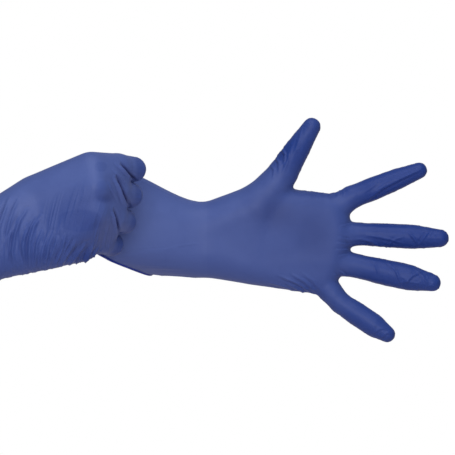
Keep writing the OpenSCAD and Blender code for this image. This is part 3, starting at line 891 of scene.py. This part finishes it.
RIGHT_FOLDS = (
    # long folds across the wrist, from the top edge down
    (((-149.5, 31), (-153.5, 19), (-157, 8), (-157.5, -6)), 1.1, 1.0),
    (((-142, 31), (-146, 23), (-149.6, 11.5), (-152, -2)), 1.0, 0.8),
    (((-135.5, 23.5), (-140.5, 16), (-144.3, 6), (-146.7, -9), (-145, -22)), 1.2, 1.2),
    (((-139, 24), (-143.5, 14), (-149, 2), (-150, -14)), 0.9, 0.5),
    (((-125, 18), (-130.4, 10.5), (-133.2, 0), (-134, -11.5), (-133, -22)), 1.2, 1.1),
    (((-130, 17), (-134.5, 9), (-137.5, 1)), 0.9, 0.6),
    (((-137.1, 6), (-138.8, -6), (-136, -21)), 1.0, 0.9),
    (((-124.2, 7), (-127.8, -3), (-130, -20)), 1.0, 0.9),
    (((-119.5, 5), (-123, -5), (-126, -20)), 0.9, 0.7),
    (((-115.9, 6), (-119, -4), (-122, -19)), 1.0, 0.9),
    (((-112, 2.5), (-117, -11.5), (-119.5, -20)), 0.9, 0.7),
    # slanting folds towards the fingers
    (((-106.5, 4), (-109.5, -8), (-115, -21)), 1.0, 0.9),
    (((-103, 2), (-107, -8), (-112, -20)), 0.8, 0.6),
    (((-99, -0.5), (-105.5, -11), (-111, -20)), 1.1, 0.9),
    (((-91.5, -2.5), (-97.7, -9.6), (-104, -18.5)), 1.2, 1.2),
    (((-95, -3), (-101, -11), (-108, -20)), 0.8, 0.6),
    (((-86, -3), (-88.8, -8.7), (-93, -16.5)), 1.1, 1.1),
    (((-82.5, -6.5), (-86, -12)), 0.9, 0.8),
    (((-79.5, -7), (-82, -11.5)), 0.8, 0.6),
    # the creases between the fingers, and the film drawn tight beside each
    (((-64.5, 58), (-60.8, 53.5), (-53, 43.5)), 1.1, -1.7),
    (((-67.5, 48), (-63, 37), (-58, 25)), 1.1, -1.6),
    (((-70, 23), (-67.8, 15), (-66, 5)), 1.1, -1.6),
    (((-69, 58.5), (-62, 52), (-55, 45.5)), 0.9, 0.5),
    (((-70.5, 53.5), (-64, 47), (-60, 42)), 0.8, 0.35),
    (((-70, 46), (-66, 38), (-63, 28)), 0.9, 0.5),
    (((-74, 44), (-70, 36), (-67, 29)), 0.8, 0.3),
    (((-71, 21), (-69, 12), (-67, 6)), 0.9, 0.5),
)


def patch_at(p, centre, radii):
    """1 inside an ellipse of (x, z) centre and radii with a wavering edge, 0 outside."""
    q = (p[:, [0, 2]] - np.array(centre)) / np.array(radii)
    reach = (np.abs(q) ** 2.6).sum(1) + 0.18 * lattice_noise(p, 8.0, 91)
    return np.clip((1.15 - reach) / 0.3, 0, 1)


def right_wrinkles(p, n):
    """Height of the folds and slackness of the film: long near-upright folds on the wrist and the
    lower half of the back, slanting towards the fingers, over finer ones."""
    q = p - RIGHT_WRIST
    along, up = q @ RIGHT_U, q @ RIGHT_W
    front = np.clip(0.35 - 1.4 * n[:, 1], 0, 1)
    height = np.zeros(len(p))
    for path, width, high in RIGHT_FOLDS:
        height += 1.3 * front * fold_line(p, path, width, high)
    slant = 0.30 + 0.006 * np.clip(along, 0, 90)
    folded = np.stack([along - slant * up, q[:, 1] * 0.5, up * 0.14 + along * 0.06], -1)
    lower = np.clip((14 - up + 0.12 * along) / 16, 0, 1) * np.clip((98 - along) / 22, 0, 1)
    fine_folds = ridges(folded, (3.0, 12.0, 5.0), 61) * 0.42
    height += lower * (fine_folds + ridges(folded + 9, (5.5, 16.0, 8.0), 62) * 0.35)
    bunch = bump_at(p, (-93, -84, -14), (11, 30, 7))
    height += 1.6 * bunch * ridges(folded, (4.2, 9.0, 4.0), 63)
    slack = 0.4 * lower + 0.5 * bunch
    for k, digit in enumerate(RIGHT_DIGITS):
        first = 1 if digit.bones == 3 else 0
        near = np.clip(1 - (digit.distances(p)[first:].min(0) - 0.8) / 2.5, 0, 1)
        height += near * 0.16 * ridges(p, (7.0, 9.0, 3.4), 71 + k)
        slack += 0.45 * near
    # the knuckles' crowns, and the hollows where the film lies on the skin between them
    crowns = (((-84, -112, 52), 0.3), ((-80, -116, 41), 0.5), ((-79, -114, 22), 0.7), ((-86, -104, 4), 0.5))
    for centre, high in crowns:
        height += high * bump_at(p, centre, (9, 30, 6))
    for centre, high in (((-76, -110, 46.5), 0.5), ((-77, -112, 31), 0.6), ((-82, -108, 12), 0.5)):
        height -= high * bump_at(p, centre, (8, 30, 5))
    height += 0.15 * lattice_noise(p, 16.0, 4)
    return height, np.clip(slack, 0, 1)


right_height, right_slack = right_wrinkles(right_points, right_normals)
right_points += right_height[:, None] * right_normals
right_normals = vertex_normals(right_points, right_faces)
SKIN_PATCHES = (((-95.5, 15), (16, 8.2)), ((-77, 37), (7, 8)), ((-80, 55.5), (4.5, 3.6)))
on_skin = sum(patch_at(right_points, centre, radii) for centre, radii in SKIN_PATCHES)
right_stretch = np.clip(0.8 - 0.85 * right_slack - 0.14 * on_skin, 0, 1)
# Painted shade: the creases between the fingers, the hollows between the knuckles and every fold's trough are
# coloured darker by their depth.
right_crease_shade = np.clip(-0.55 * np.minimum(right_height, 0), 0, 1)
cut_into_pieces(
    "right", right_points, right_faces, right_normals, right_stretch, right_crease_shade,
    RIGHT_DIGITS, wrist=RIGHT_WRIST, forward=RIGHT_U,
)

# ---- Right glove: cuff ----
# A loose sleeve behind the wrist. It widens to an oval rim and carries the wrist's folds on, each
# fainter as the film opens out.
RIGHT_CUFF_LENGTH = 54.0
RIGHT_RIM_HALF_DEPTH, RIGHT_RIM_HALF_HEIGHT = 27, 36
across = -np.sin(2 * np.pi * turn)[:, None] * BACK
upward = -np.cos(2 * np.pi * turn)[:, None] * RIGHT_W
right_start = on_outline(right_field, RIGHT_WRIST, across + upward)
right_rim = (
    RIGHT_WRIST - RIGHT_CUFF_LENGTH * RIGHT_U + 4.0 * BACK
    + RIGHT_RIM_HALF_DEPTH * across + RIGHT_RIM_HALF_HEIGHT * upward
)
right_start_normals = field_slope(right_field, right_start)
leaving = leaving_along(right_start_normals, -RIGHT_U)
sleeve = film_lines(
    right_start, RIGHT_CUFF_LENGTH * leaving, right_rim, right_rim - right_start, rows
)
sleeve_points = sleeve.reshape(-1, 3)
sleeve_faces = cuff_faces
sleeve_normals = vertex_normals(sleeve_points, sleeve_faces)
if (sleeve_normals * (sleeve_points - RIGHT_WRIST + RIGHT_CUFF_LENGTH / 2 * RIGHT_U)).sum() < 0:
    sleeve_faces, sleeve_normals = sleeve_faces[:, ::-1], -sleeve_normals
sleeve_height, sleeve_slack = right_wrinkles(sleeve_points, sleeve_normals)
start_everywhere = np.tile(right_start_normals, (CUFF_ROWS, 1))
sleeve_normals = np.where(row_share[:, None] == 0, start_everywhere, sleeve_normals)
fade = np.clip((1 - row_share) * 1.3, 0, 1)
sleeve_points = sleeve_points + (sleeve_height * fade)[:, None] * sleeve_normals
sleeve_normals = eased(
    vertex_normals(sleeve_points, sleeve_faces), start_everywhere, row_share * 25
)
sleeve_stretch = np.clip(0.8 - 0.85 * sleeve_slack, 0, 1)
# Painted shade in the troughs of the sleeve's folds, darker by their depth, as on the hand.
sleeve_crease_shade = np.clip(-0.55 * np.minimum(sleeve_height, 0), 0, 1)
right_cuff = film_piece(
    "right_cuff_film", sleeve_points, sleeve_faces, sleeve_normals,
    sleeve_stretch, sleeve_crease_shade, nitrile, INNER_WALL_DEPTH,
)
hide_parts("right_cuff")
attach(right_cuff, "right_hand")
right_rim_line = sleeve_points.reshape(CUFF_ROWS, CUFF_COLUMNS, 3)[-1]
right_bead = bead("right_cuff_bead_roll", right_rim_line, BEAD_RADIUS, 52)
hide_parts("right_cuff_bead")
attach(right_bead, "right_hand")

# ---- Stage ----
# A pale floor well below the gloves, a bright backdrop all round, a broad soft lamp above and
# another in front, and a large dim one behind that leaves no glints on the film.
FLOOR_LEVEL, FLOOR_HALF = -0.5, 6
floor_mesh = bpy.data.meshes.new("floor")
floor_corners = [(x * FLOOR_HALF, y * FLOOR_HALF, FLOOR_LEVEL) for x, y in ((-1, -1), (1, -1), (1, 1), (-1, 1))]
floor_mesh.from_pydata(floor_corners, [], [(0, 1, 2, 3)])
floor = bpy.data.objects.new("floor", floor_mesh)
bpy.context.scene.collection.objects.link(floor)
floor_paint = bpy.data.materials.new("pale_floor")
floor_paint.use_nodes = True
floor_shader = floor_paint.node_tree.nodes["Principled BSDF"]
floor_shader.inputs["Base Color"].default_value = (0.78, 0.70, 0.72, 1)
floor_shader.inputs["Roughness"].default_value = 0.9
floor_mesh.materials.append(floor_paint)

world = bpy.data.worlds.new("studio")
world.use_nodes = True
backdrop = world.node_tree.nodes["Background"]
backdrop.inputs["Color"].default_value = (1.0, 1.0, 1.0, 1)
seen = Wire(world.node_tree, None).node("ShaderNodeLightPath")
world.node_tree.links.new((seen * 0.8 + 0.2).socket, backdrop.inputs["Strength"])
bpy.context.scene.world = world


def soft_light(name, place, aim, size, power):
    """A square lamp that faces its aim."""
    data = bpy.data.lights.new(name, "AREA")
    data.size, data.energy = size, power
    lamp = bpy.data.objects.new(name, data)
    away = np.array(place) - np.array(aim)
    away = away / np.linalg.norm(away)
    lamp.location = place
    lamp.rotation_euler = (np.arccos(away[2]), 0, np.arctan2(away[1], away[0]) + np.pi / 2)
    bpy.context.scene.collection.objects.link(lamp)
    return lamp


soft_light("top_softbox", (0.0, -0.6, 1.15), (0, 0, 0), 1.1, 8)
soft_light("front_fill", (-0.1, -1.9, 0.35), (0, 0, 0), 1.1, 16)
back_fill = soft_light("back_fill", (0.3, 2.1, 1.3), (0, 0, 0), 2.4, 20)
back_fill.visible_glossy = False
bpy.context.scene.view_settings.view_transform = "Standard"
